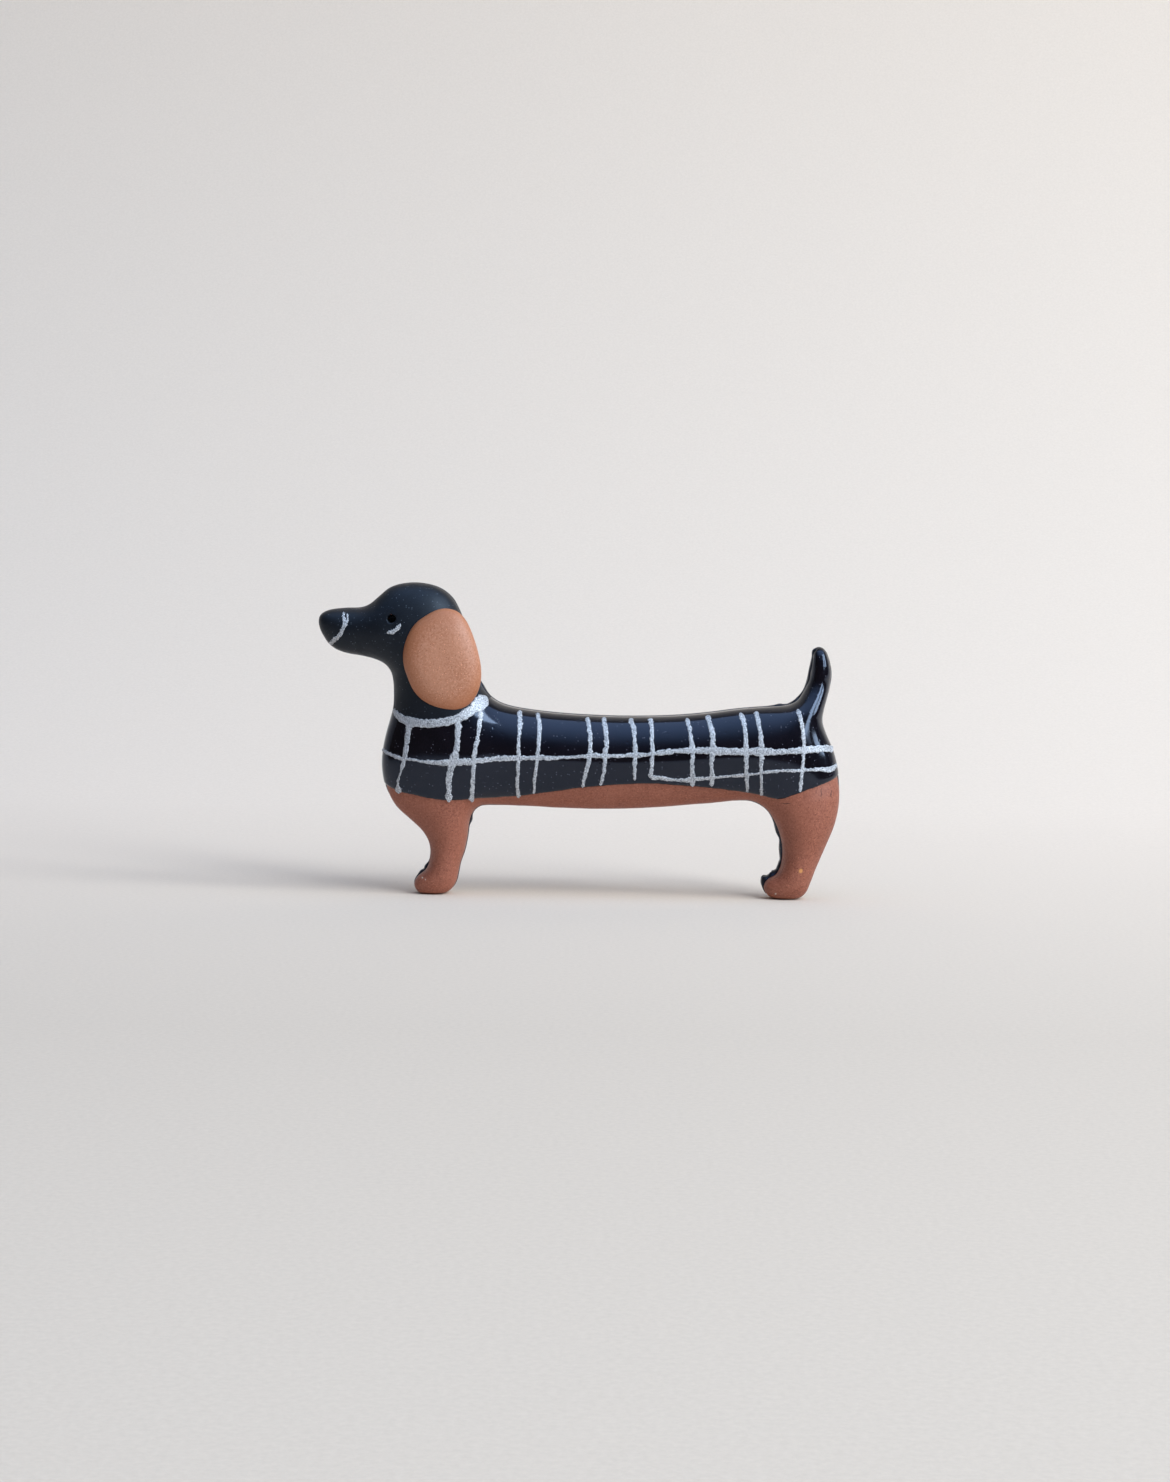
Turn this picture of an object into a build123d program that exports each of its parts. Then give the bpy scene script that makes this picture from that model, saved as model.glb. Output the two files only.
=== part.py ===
from build123d import *
import os

# A dachshund brooch in relief: a hand-modelled red stoneware dog with a flat back and a domed
# front, black slip on its head, a glossy black coat with silver lustre plaid, a bare clay ear,
# and a steel safety-catch pin bonded to its back.
#
# Millimetres.  The dog looks along -X, its decorated side faces -Y and it stands on z = 0.

# ---- the ceramic ----
WALL = 2.3                 # straight side wall behind the dome
WALL_SHARE = 0.42          # most of a thin limb's depth that the wall takes
SPARE = 1.0                # how far a limb runs on behind the back before it is cut flat
SLIP = 0.18                # fired thickness of slip and of glaze
LUSTRE = 0.10              # raised lustre on top of it
RIM = 1.5                  # how far the black back coat climbs the side wall
WIPED_FOOT = 0.4           # height up to which the glaze is wiped off the soles
EAR_WIDTH = 9.8
EAR_HEIGHT = 12.9
EAR_TILT = -6.0            # degrees, top towards the nose
EAR_CENTRE = (-16.85, 29.2)
EAR_BULGE = 1.9            # half thickness of the pressed clay pebble
EAR_SEAT = 5.5             # depth at which its middle plane lies
EYE = (-23.2, 34.3)
EYE_RADIUS = 0.52
EYE_FLOOR = 3.6            # depth of the pierced eye's floor in front of the back
BEYOND = 60.0              # reach of a cutting solid, well past the whole brooch

# ---- the pin ----
BAR_LENGTH = 30.0
BAR_WIDTH = 4.6
BAR_THICK = 0.6
BAR_CENTRE = (1.0, 17.4)   # x and z of the middle of the bar
BAR_CORNER = 1.6
BAR_HOLE_RADIUS = 0.9
BAR_HOLE_PITCH = 8.0
BOND = 0.35                # adhesive under the bar
BOND_SPREAD = 0.45         # adhesive squeezed out round it
NEEDLE_RADIUS = 0.4
NEEDLE_HEIGHT = 2.6        # needle axis above the bar
NEEDLE_TIP = 3.2           # length of the ground point
NEEDLE_OVERHANG = 0.3      # how far the point passes the end of the bar
NEEDLE_POINT_RADIUS = 0.06
HINGE_INSET = 1.7          # rivet axis from the end of the bar
LUG_LENGTH = 2.8
LUG_THICK = 0.6
RIVET_RADIUS = 0.5
RIVET_HEAD_RADIUS = 0.85
RIVET_HEAD = 0.3
EYELET_RADIUS = 1.15
EYELET_WIDTH = 1.4
RUNNING = 0.04             # radial running clearance
SIDE_PLAY = 0.06           # clearance beside a turning piece
CATCH_INSET = 3.2          # middle of the catch from the other end of the bar
HOUSING_RADIUS = 2.3
HOUSING_BORE = 1.55
HOUSING_LENGTH = 2.6
FOOT_WIDTH = 2.4
MOUTH_FROM = -57.0         # degrees of the housing's mouth, from straight out towards +Z
MOUTH_TO = 67.0
ROTOR_BORE = 0.62
ROTOR_SLOT = 1.1
FLANGE_RADIUS = 1.9
FLANGE = 0.3
TAB_ANGLE = 48.0
TAB_REACH = 3.1
TAB_WIDTH = 0.7
TAB_LENGTH = 1.5
BREAK = 0.12               # bevel on the pressed and turned edges
TAB_ROUND = 0.18
OVERSHOOT = 1.0            # how far a drill or cutter runs past what it cuts

# ---- where the layers lie along Y, so that the whole brooch is centred on y = 0 ----
EAR_FRONT = EAR_SEAT + EAR_BULGE
PIN_DEPTH = SLIP + BOND + BAR_THICK + NEEDLE_HEIGHT + HOUSING_RADIUS
BACK = (EAR_FRONT - PIN_DEPTH) / 2
BAR_Y = BACK + SLIP + BOND
BAR_OUT = BAR_Y + BAR_THICK
NEEDLE_Y = BAR_OUT + NEEDLE_HEIGHT
HINGE_X = BAR_CENTRE[0] - BAR_LENGTH / 2 + HINGE_INSET
CATCH_X = BAR_CENTRE[0] + BAR_LENGTH / 2 - CATCH_INSET
TIP_X = BAR_CENTRE[0] + BAR_LENGTH / 2 + NEEDLE_OVERHANG

# ---- the dog's limbs as D sections ----
# Upright slices from nose to rump: x, lowest z, highest z, depth
HEAD = [
    (-32.25, 33.1, 34.2, 1.6), (-31.7, 32.1, 34.7, 2.8), (-30.5, 31.0, 34.9, 3.6),
    (-28.5, 30.2, 35.1, 4.1), (-26.5, 29.8, 35.6, 4.4), (-24.6, 29.2, 37.0, 5.1),
    (-22.7, 27.8, 38.1, 5.6), (-20.5, 27.2, 38.5, 5.8), (-18.0, 27.2, 38.0, 5.6),
    (-16.2, 28.7, 36.9, 4.8), (-15.1, 31.0, 35.2, 3.4),
]
TORSO = [
    (-24.0, 15.1, 19.2, 3.4), (-23.4, 13.5, 21.2, 4.6), (-22.2, 12.2, 22.4, 5.4),
    (-19.5, 11.4, 23.2, 6.0), (-15.0, 11.1, 23.6, 6.3), (-9.7, 11.2, 23.5, 6.3),
    (-4.0, 11.0, 22.7, 6.2), (2.3, 10.9, 22.3, 6.2), (12.3, 11.5, 22.4, 6.2),
    (20.3, 12.2, 23.2, 6.2), (26.3, 11.4, 23.5, 6.1), (29.4, 10.9, 21.9, 5.6),
    (31.3, 11.4, 19.3, 4.6), (32.3, 12.7, 16.2, 3.0),
]
# Level slices from the lowest up: z, lowest x, highest x, depth
NECK = [
    (16.5, -21.0, -11.0, 4.4), (19.5, -22.4, -10.2, 5.3), (22.0, -23.0, -10.3, 5.7),
    (25.0, -22.8, -12.0, 5.5), (28.0, -22.8, -13.4, 5.3), (31.0, -22.3, -14.9, 4.9),
    (34.0, -21.0, -16.4, 4.2),
]
TAIL = [
    (16.5, 26.4, 29.6, 3.6), (20.0, 26.0, 30.1, 4.4), (22.4, 26.2, 30.0, 4.0),
    (23.8, 26.9, 30.3, 3.4), (26.0, 28.2, 30.9, 2.8), (28.2, 28.8, 31.1, 2.4),
    (30.0, 29.2, 30.8, 2.0), (31.3, 29.6, 30.1, 1.0),
]
FRONT_LEG = [
    (0.0, -19.7, -16.6, 3.9), (0.8, -20.2, -15.5, 4.2), (2.0, -20.0, -14.9, 4.3),
    (3.2, -18.7, -14.8, 4.1), (5.0, -18.3, -14.2, 4.1), (7.5, -19.0, -13.7, 4.5),
    (10.0, -21.2, -13.2, 5.0), (11.6, -22.0, -12.6, 5.1), (13.5, -21.8, -13.0, 4.6),
]
REAR_LEG = [
    (0.0, 23.6, 27.4, 3.9), (0.8, 23.3, 28.5, 4.2), (2.0, 23.3, 29.1, 4.3),
    (3.4, 24.6, 29.5, 4.1), (5.0, 25.6, 30.2, 4.3), (8.0, 25.1, 31.4, 4.8),
    (11.0, 23.9, 31.7, 5.3), (13.0, 22.8, 31.0, 5.1), (16.0, 23.6, 29.6, 4.2),
]

# ---- where one finish meets another, seen from the front as (x, z) ----
COLLAR = [
    (-24.6, 23.3), (-22.9, 22.6), (-21.3, 21.6), (-19.0, 21.5), (-16.0, 22.0),
    (-13.2, 23.0), (-11.3, 24.3), (-9.4, 26.4),
]
HEM = [
    (-26.0, 14.0), (-22.0, 13.2), (-15.8, 12.1), (-8.0, 12.2), (0.0, 13.3), (8.0, 14.3),
    (14.0, 14.4), (20.0, 13.7), (24.6, 12.8), (28.9, 14.1), (34.0, 16.2),
]

# ---- the lustre drawing, seen from the front as (x, z) ----
UPRIGHTS = [
    [(-20.7, 21.6), (-21.2, 17.6), (-22.0, 13.5)],
    [(-14.7, 22.2), (-15.1, 17.4), (-15.8, 12.0)],
    [(-11.9, 23.2), (-12.7, 17.9), (-13.0, 12.0)],
    [(-7.3, 22.8), (-7.3, 17.8), (-7.3, 12.4)],
    [(-5.1, 22.5), (-4.8, 18.0), (-5.3, 13.1)],
    [(1.2, 22.2), (1.4, 17.9), (0.7, 14.0)],
    [(3.0, 22.2), (3.4, 17.9), (2.8, 14.3)],
    [(6.5, 22.2), (7.0, 17.9), (7.1, 15.0)],
    [(9.0, 22.2), (9.1, 18.3), (9.1, 15.0)],
    [(13.5, 22.2), (14.1, 18.4), (14.2, 14.6)],
    [(16.0, 22.7), (16.5, 18.7), (16.6, 14.5)],
    [(20.2, 23.1), (20.7, 18.7), (21.1, 14.0)],
    [(22.0, 23.2), (22.6, 18.8), (22.8, 13.6)],
    [(27.2, 22.6), (27.9, 19.3), (27.5, 14.0)],
]
BANDS = [
    [(-23.6, 17.9), (-20.0, 17.0), (-13.0, 17.0), (-5.0, 17.6), (6.8, 18.1), (16.5, 18.7),
     (25.0, 18.8), (31.4, 19.0)],
    [(9.1, 15.1), (14.1, 15.1), (20.9, 15.8), (27.5, 16.4), (32.0, 16.8)],
]
COLLAR_BAND = [(-23.0, 22.4), (-21.3, 21.6), (-19.0, 21.5), (-16.0, 22.0), (-13.2, 23.0),
               (-11.6, 24.1)]
MUZZLE_LINE = [(-29.1, 34.9), (-29.0, 33.8), (-29.6, 32.4), (-31.0, 31.2)]
CHEEK_LINE = [(-23.6, 32.6), (-22.9, 32.7), (-22.1, 33.7)]
UPRIGHT_WIDTH = 0.55
BAND_WIDTH = 0.6
COLLAR_WIDTH = 1.1
FACE_LINE_WIDTH = 0.5


def in_front_of(y):
    """A block that reaches forward from y."""
    return Pos(0, y - BEYOND, 0) * Box(2 * BEYOND, 2 * BEYOND, 2 * BEYOND)


def above(z):
    """A block that reaches up from z."""
    return Pos(0, 0, z + BEYOND) * Box(2 * BEYOND, 2 * BEYOND, 2 * BEYOND)


def upright_plane(x):
    """A plane across the body: its x runs up, its y runs out of the flat back."""
    return Plane(origin=(x, BACK, 0), x_dir=(0, 0, 1), z_dir=(1, 0, 0))


def level_plane(z):
    """A level plane: its x runs along the body, its y runs out of the flat back."""
    return Plane(origin=(0, BACK, z), x_dir=(1, 0, 0), z_dir=(0, 0, -1))


def d_section(plane, low, high, depth, grow):
    """A D: a straight wall that starts behind the flat back, then half an ellipse."""
    wall = min(WALL, WALL_SHARE * depth)
    left = low - grow
    right = high + grow
    outline = [
        Line((left, -SPARE), (right, -SPARE)),
        Line((right, -SPARE), (right, wall)),
        EllipticalCenterArc(((left + right) / 2, wall), (right - left) / 2,
                            depth - wall + grow, start_angle=0, arc_size=180),
        Line((left, wall), (left, -SPARE)),
    ]
    return plane * make_face(outline)


def limb(stations, plane_at, grow, flat_start=False):
    """A loft through the stations, its two ends pushed out by the growth as well."""
    last = len(stations) - 1
    faces = []
    for index, (place, low, high, depth) in enumerate(stations):
        if index == 0 and not flat_start:
            place -= grow
        if index == last:
            place += grow
        faces.append(d_section(plane_at(place), low, high, depth, grow))
    return loft(faces)


def dog(grow=0.0, back=0.0):
    """The whole dog, grown outwards by grow at the front and sides and by back at the back."""
    body = limb(TORSO, upright_plane, grow)
    body += limb(NECK, level_plane, grow)
    body += limb(HEAD, upright_plane, grow)
    body += limb(TAIL, level_plane, grow)
    body += limb(FRONT_LEG, level_plane, grow, flat_start=True)
    body += limb(REAR_LEG, level_plane, grow, flat_start=True)
    return body & in_front_of(BACK + back)


def through(face_in_front_view):
    """A prism right through the brooch from a face drawn in the front view."""
    front = Plane(origin=(0, 0, 0), x_dir=(1, 0, 0), z_dir=(0, -1, 0))
    return extrude(front * face_in_front_view, amount=BEYOND, both=True)


def region(*edges):
    return through(make_face(list(edges)))


def stroke(points, width):
    """A brush line of even width along the points, with round ends."""
    line = Spline(points) if len(points) > 2 else Line(*points)
    shape = trace(line, line_width=width)
    for end in (points[0], points[-1]):
        shape += Pos(*end) * Circle(width / 2)
    return through(shape)


def save(shape, name):
    export_step(shape, f"parts/{name}.step")


def head_region():
    """Everything above the collar, seen from the front."""
    (left, left_z), (right, _) = COLLAR[0], COLLAR[-1]
    return region(
        Spline(COLLAR),
        Polyline(COLLAR[-1], (right, BEYOND), (-BEYOND, BEYOND), (-BEYOND, left_z), (left, left_z)),
    )


def coat_region():
    """Everything between the collar and the hem, and all of the back and the tail."""
    return region(
        Spline(COLLAR),
        Polyline(COLLAR[-1], (COLLAR[-1][0], BEYOND), (HEM[-1][0], BEYOND), HEM[-1]),
        Spline(HEM),
        Polyline(HEM[0], (HEM[0][0], COLLAR[0][1]), COLLAR[0]),
    )


def along_x(radius, x_from, x_to, y, z):
    """A round bar along X."""
    middle = ((x_from + x_to) / 2, y, z)
    return Pos(*middle) * Rot(0, 90, 0) * Cylinder(radius, x_to - x_from)


def along_y(radius, y_from, y_to, x, z):
    """A round bar along Y."""
    return Pos(x, (y_from + y_to) / 2, z) * Rot(90, 0, 0) * Cylinder(radius, y_to - y_from)


def slab(length, width, y_from, y_to, radius):
    """A flat plate with round corners, centred on the bar, between two depths."""
    flat = Plane(origin=(BAR_CENTRE[0], y_from, BAR_CENTRE[1]), x_dir=(1, 0, 0), z_dir=(0, 1, 0))
    return extrude(flat * RectangleRounded(length, width, radius), amount=y_to - y_from)


def bar_holes(y_from, y_to):
    """The three holes of the bar, as plugs."""
    plugs = [
        along_y(BAR_HOLE_RADIUS, y_from, y_to, BAR_CENTRE[0] + step * BAR_HOLE_PITCH, BAR_CENTRE[1])
        for step in (-1, 0, 1)
    ]
    return plugs[0] + plugs[1] + plugs[2]


def hinge_lug(side):
    """One of the two lugs folded up from the bar, with its rivet hole; side is +1 or -1."""
    middle_z = BAR_CENTRE[1] + side * (EYELET_WIDTH / 2 + SIDE_PLAY + LUG_THICK / 2)
    post_height = NEEDLE_Y - BAR_OUT
    lug = Pos(HINGE_X, BAR_OUT + post_height / 2, middle_z) * Box(LUG_LENGTH, post_height, LUG_THICK)
    lug += Pos(HINGE_X, NEEDLE_Y, middle_z) * Cylinder(LUG_LENGTH / 2, LUG_THICK)
    lug -= Pos(HINGE_X, NEEDLE_Y, middle_z) * Cylinder(RIVET_RADIUS, LUG_THICK + 2 * OVERSHOOT)
    return lug


def hinge_rivet_shape():
    """A plain pin through both lugs with a flat head outside each."""
    reach = EYELET_WIDTH + 2 * (SIDE_PLAY + LUG_THICK)
    rivet = Pos(HINGE_X, NEEDLE_Y, BAR_CENTRE[1]) * Cylinder(RIVET_RADIUS, reach)
    for side in (-1, 1):
        head_z = BAR_CENTRE[1] + side * (reach + RIVET_HEAD) / 2
        head = Cylinder(RIVET_HEAD_RADIUS, RIVET_HEAD)
        outer_edge = head.edges().sort_by(Axis.Z)[-1 if side > 0 else 0]
        rivet += Pos(HINGE_X, NEEDLE_Y, head_z) * chamfer(outer_edge, BREAK)
    return rivet


def needle():
    """The pin stem: an eyelet that turns on the rivet, a straight wire and a ground point."""
    z = BAR_CENTRE[1]
    stem = Pos(HINGE_X, NEEDLE_Y, z) * Cylinder(EYELET_RADIUS, EYELET_WIDTH)
    stem += along_x(NEEDLE_RADIUS, HINGE_X, TIP_X - NEEDLE_TIP, NEEDLE_Y, z)
    stem += Pos(TIP_X - NEEDLE_TIP / 2, NEEDLE_Y, z) * Rot(0, 90, 0) * Cone(
        NEEDLE_RADIUS, NEEDLE_POINT_RADIUS, NEEDLE_TIP)
    stem -= Pos(HINGE_X, NEEDLE_Y, z) * Cylinder(
        RIVET_RADIUS + RUNNING, EYELET_WIDTH + 2 * OVERSHOOT)
    return stem


def sector(from_angle, to_angle, radius, length):
    """A wedge about the catch's axis; angles run from straight out towards +Z."""
    across = Plane(origin=(CATCH_X - length / 2, NEEDLE_Y, BAR_CENTRE[1]),
                   x_dir=(0, 1, 0), z_dir=(1, 0, 0))
    edge = CenterArc((0, 0), radius, from_angle, to_angle - from_angle)
    return extrude(across * make_face([Line((0, 0), edge @ 0), edge, Line(edge @ 1, (0, 0))]),
                   amount=length)


def catch_ring(radius, length):
    return along_x(radius, CATCH_X - length / 2, CATCH_X + length / 2, NEEDLE_Y, BAR_CENTRE[1])


def housing():
    """The fixed C of the safety catch on its foot, its mouth turned away from the bar."""
    ring = chamfer(catch_ring(HOUSING_RADIUS, HOUSING_LENGTH).edges(), BREAK)
    foot_top = NEEDLE_Y - HOUSING_BORE
    foot = Pos(CATCH_X, (BAR_OUT + foot_top) / 2, BAR_CENTRE[1]) * Box(
        HOUSING_LENGTH, foot_top - BAR_OUT, FOOT_WIDTH)
    ring += foot
    cut_length = HOUSING_LENGTH + 2 * OVERSHOOT
    ring -= catch_ring(HOUSING_BORE, cut_length)
    return ring - sector(MOUTH_FROM, MOUTH_TO, HOUSING_RADIUS + OVERSHOOT, cut_length)


def rotor():
    """The turning sleeve of the catch: slotted, flanged at both ends, with a thumb tab."""
    barrel_length = HOUSING_LENGTH + 2 * SIDE_PLAY
    sleeve = catch_ring(HOUSING_BORE - RUNNING, barrel_length)
    for side in (-1, 1):
        flange = catch_ring(FLANGE_RADIUS, FLANGE)
        outer_edge = flange.edges().filter_by(GeomType.CIRCLE).sort_by(Axis.X)[-1 if side > 0 else 0]
        sleeve += Pos(side * (barrel_length + FLANGE) / 2, 0, 0) * chamfer(outer_edge, BREAK)
    tab = Pos(0, (HOUSING_BORE - 2 * RUNNING + TAB_REACH) / 2, 0) * Box(
        TAB_LENGTH, TAB_REACH - HOUSING_BORE + 2 * RUNNING, TAB_WIDTH)
    tab = fillet(tab.faces().sort_by(Axis.Y)[-1].edges(), TAB_ROUND)
    tab = Pos(CATCH_X, NEEDLE_Y, BAR_CENTRE[1]) * Rot(TAB_ANGLE, 0, 0) * tab
    sleeve += tab
    cut_length = barrel_length + 2 * (FLANGE + OVERSHOOT)
    sleeve -= catch_ring(ROTOR_BORE, cut_length)
    slot = Pos(CATCH_X, NEEDLE_Y + HOUSING_RADIUS, BAR_CENTRE[1]) * Box(
        cut_length, 2 * HOUSING_RADIUS, ROTOR_SLOT)
    return sleeve - slot


os.makedirs("parts", exist_ok=True)

bare = dog()
slipped = dog(grow=SLIP, back=SLIP)
lustred = dog(grow=SLIP + LUSTRE, back=SLIP)

ahead_of_rim = in_front_of(BACK - RIM)
eye_hole = along_y(EYE_RADIUS, -BEYOND, BACK - EYE_FLOOR, *EYE)

# ---- the fired clay and its coats ----
front_coat = (slipped & ahead_of_rim) - bare
stoneware_body = bare - eye_hole
head_slip = (front_coat & head_region()) - eye_hole
coat_glaze = front_coat & coat_region()
back_slip = (lustred - ahead_of_rim) & above(WIPED_FOOT)
back_slip -= bare

ear_pebble = scale(Sphere(1), by=(EAR_WIDTH / 2, EAR_BULGE, EAR_HEIGHT / 2))
ear_pebble = Pos(EAR_CENTRE[0], BACK - EAR_SEAT, EAR_CENTRE[1]) * Rot(0, EAR_TILT, 0) * ear_pebble
ear = ear_pebble - slipped

# ---- the lustre drawing ----
raised_front = lustred & ahead_of_rim


def lustre(prism):
    """What a brush stroke leaves on top of the slip and the glaze."""
    return (raised_front & prism) - slipped - ear_pebble


collar_prism = stroke(COLLAR_BAND, COLLAR_WIDTH)
bands_prism = stroke(BANDS[0], BAND_WIDTH) + stroke(BANDS[1], BAND_WIDTH)
uprights_prism = stroke(UPRIGHTS[0], UPRIGHT_WIDTH)
for points in UPRIGHTS[1:]:
    uprights_prism += stroke(points, UPRIGHT_WIDTH)
collar_lustre = lustre(collar_prism)
plaid_bands = lustre(bands_prism - collar_prism)
plaid_uprights = lustre(uprights_prism - bands_prism - collar_prism)
muzzle_lustre = lustre(stroke(MUZZLE_LINE, FACE_LINE_WIDTH))
cheek_lustre = lustre(stroke(CHEEK_LINE, FACE_LINE_WIDTH))

# ---- the pin ----
adhesive_pad = slab(BAR_LENGTH + 2 * BOND_SPREAD, BAR_WIDTH + 2 * BOND_SPREAD, BACK + SLIP, BAR_Y,
                    BAR_CORNER + BOND_SPREAD)
adhesive_pad += bar_holes(BAR_Y - BOND / 2, BAR_OUT)
pin_bar = slab(BAR_LENGTH, BAR_WIDTH, BAR_Y, BAR_OUT, BAR_CORNER)
pin_bar = chamfer(pin_bar.faces().sort_by(Axis.Y)[-1].edges(), BREAK)
pin_bar -= bar_holes(BAR_Y - OVERSHOOT, BAR_OUT + OVERSHOOT)
pin_bar += hinge_lug(1)
pin_bar += hinge_lug(-1)

save(stoneware_body, "stoneware_body")
save(head_slip, "head_slip")
save(coat_glaze, "coat_glaze")
save(back_slip, "back_slip")
save(ear, "ear")
save(collar_lustre, "collar_lustre")
save(plaid_uprights, "plaid_uprights")
save(plaid_bands, "plaid_bands")
save(muzzle_lustre, "muzzle_lustre")
save(cheek_lustre, "cheek_lustre")
save(adhesive_pad, "adhesive_pad")
save(pin_bar, "pin_bar")
save(hinge_rivet_shape(), "hinge_rivet")
save(needle(), "pin_stem")
save(housing(), "catch_housing")
save(rotor(), "catch_rotor")
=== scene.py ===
import bpy
import math
import numpy as np
from mathutils import Matrix, Vector, noise
from mathutils.kdtree import KDTree


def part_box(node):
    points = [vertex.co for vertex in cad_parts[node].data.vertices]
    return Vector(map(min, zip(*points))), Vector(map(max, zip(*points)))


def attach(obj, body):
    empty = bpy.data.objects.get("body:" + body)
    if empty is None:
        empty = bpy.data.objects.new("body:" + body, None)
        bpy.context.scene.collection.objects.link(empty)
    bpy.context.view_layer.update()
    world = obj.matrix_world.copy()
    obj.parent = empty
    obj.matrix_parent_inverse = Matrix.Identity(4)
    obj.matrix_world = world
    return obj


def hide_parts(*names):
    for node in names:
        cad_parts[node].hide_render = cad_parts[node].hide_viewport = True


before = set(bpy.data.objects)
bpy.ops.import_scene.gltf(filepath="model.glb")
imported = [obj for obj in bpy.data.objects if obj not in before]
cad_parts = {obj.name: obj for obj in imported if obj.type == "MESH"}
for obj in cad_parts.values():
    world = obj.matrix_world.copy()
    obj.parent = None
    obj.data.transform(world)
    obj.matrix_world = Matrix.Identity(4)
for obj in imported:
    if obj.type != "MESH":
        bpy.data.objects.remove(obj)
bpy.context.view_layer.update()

# A ceramic dachshund brooch in relief.  Shapes are worked out in millimetres and scaled to
# metres when they become meshes.  The dog looks along -X, its decorated side faces -Y.
MM = 0.001
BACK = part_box("stoneware_body")[1].y / MM      # y of the flat back of the clay
SLIP = 0.18                                    # thickness of slip and of glaze
LUSTRE = 0.09                                  # thickness of a silver stroke
DOME = 5.4                                     # how far the front domes
WALL = 2.2                                     # straight side wall behind the dome
EDGE = 0.35                                    # softness of the back and sole edges
RIM = 1.5                                      # how far the back coat climbs the side wall
GRID = 0.15                  # pitch of the swell field
CLAY_PITCH = 0.24            # pitch of the clay's mesh
COAT_PITCH = 0.17            # pitch of the mesh that the coats are cut from

# ---------------------------------------------------------------- outline and drawing, (x, z)
OUTLINE = [
    (-32.5, 33.8), (-32.3, 32.8), (-31.9, 32.0), (-31.2, 31.0), (-30.2, 30.3), (-28.8, 29.85),
    (-27.2, 29.6), (-25.6, 29.25), (-24.3, 28.7), (-23.45, 27.8), (-23.1, 26.6), (-23.0, 25.0),
    (-23.05, 23.3), (-23.45, 21.6), (-23.9, 19.9), (-24.25, 18.0), (-24.35, 16.2),
    (-24.15, 14.5), (-23.65, 12.75), (-22.45, 10.9), (-20.75, 9.35), (-19.4, 8.1), (-18.6, 6.95),
    (-18.25, 5.8), (-18.25, 4.6), (-18.45, 3.6), (-18.9, 2.85), (-19.6, 2.3), (-20.15, 1.6),
    (-20.1, 0.75), (-19.4, 0.0), (-18.2, -0.2), (-16.8, -0.15), (-15.6, 0.5), (-14.95, 1.5),
    (-14.7, 2.6), (-14.45, 3.9), (-13.95, 5.4), (-13.6, 7.2), (-13.4, 9.0), (-13.05, 10.1),
    (-12.4, 10.85), (-11.2, 11.15), (-7.0, 11.15), (2.0, 10.95), (9.0, 11.2), (16.0, 11.85),
    (20.2, 12.25), (22.2, 12.05), (23.7, 11.15), (24.7, 9.7), (25.35, 8.2), (25.7, 6.7),
    (25.75, 5.3), (25.5, 4.0), (25.0, 3.05), (24.2, 2.6), (23.6, 1.95), (23.55, 1.1),
    (24.2, 0.25), (25.4, -0.15), (27.4, -0.1), (28.7, 0.7), (29.35, 2.1), (29.95, 3.8),
    (31.0, 6.4), (32.1, 9.3), (32.6, 11.7), (32.65, 14.1), (32.4, 16.4), (31.8, 18.7),
    (30.9, 20.7), (30.35, 22.3), (30.5, 23.8), (31.1, 26.0), (31.4, 28.2), (31.05, 30.1),
    (30.5, 31.2), (29.8, 31.5), (29.2, 31.0), (28.95, 29.7), (28.7, 27.8), (28.1, 26.25),
    (27.3, 25.0), (26.2, 24.35), (24.5, 24.1), (20.2, 23.7), (15.5, 23.05), (10.9, 22.65),
    (5.0, 22.5), (-0.5, 22.65), (-5.0, 23.0), (-8.6, 23.55), (-10.6, 24.4), (-12.0, 25.9),
    (-13.0, 28.2), (-13.8, 31.2), (-14.4, 33.7), (-15.1, 35.5), (-16.0, 37.0), (-17.4, 38.05),
    (-19.0, 38.55), (-20.8, 38.7), (-22.6, 38.45), (-23.9, 37.9), (-25.0, 36.95),
    (-26.1, 36.0), (-27.3, 35.5), (-29.2, 35.4), (-31.1, 35.15), (-32.2, 34.6),
]
COLLAR_EDGE = [(-26.0, 24.0), (-22.9, 22.5), (-21.3, 21.6), (-19.0, 21.5), (-16.0, 22.0),
               (-13.2, 23.0), (-11.3, 24.3), (-9.4, 26.4)]
HEM = [(-26.0, 14.4), (-23.8, 13.6), (-22.6, 13.1), (-20.7, 12.7), (-18.4, 12.35), (-16.1, 12.1),
       (-11.2, 12.2), (-6.4, 12.65), (-1.7, 13.45), (3.0, 14.1), (8.0, 14.45), (12.0, 14.35),
       (17.2, 13.9), (20.7, 13.45), (24.0, 12.85), (25.1, 12.8), (26.5, 13.3), (28.5, 14.1),
       (31.0, 15.0), (34.0, 16.3)]
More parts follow.
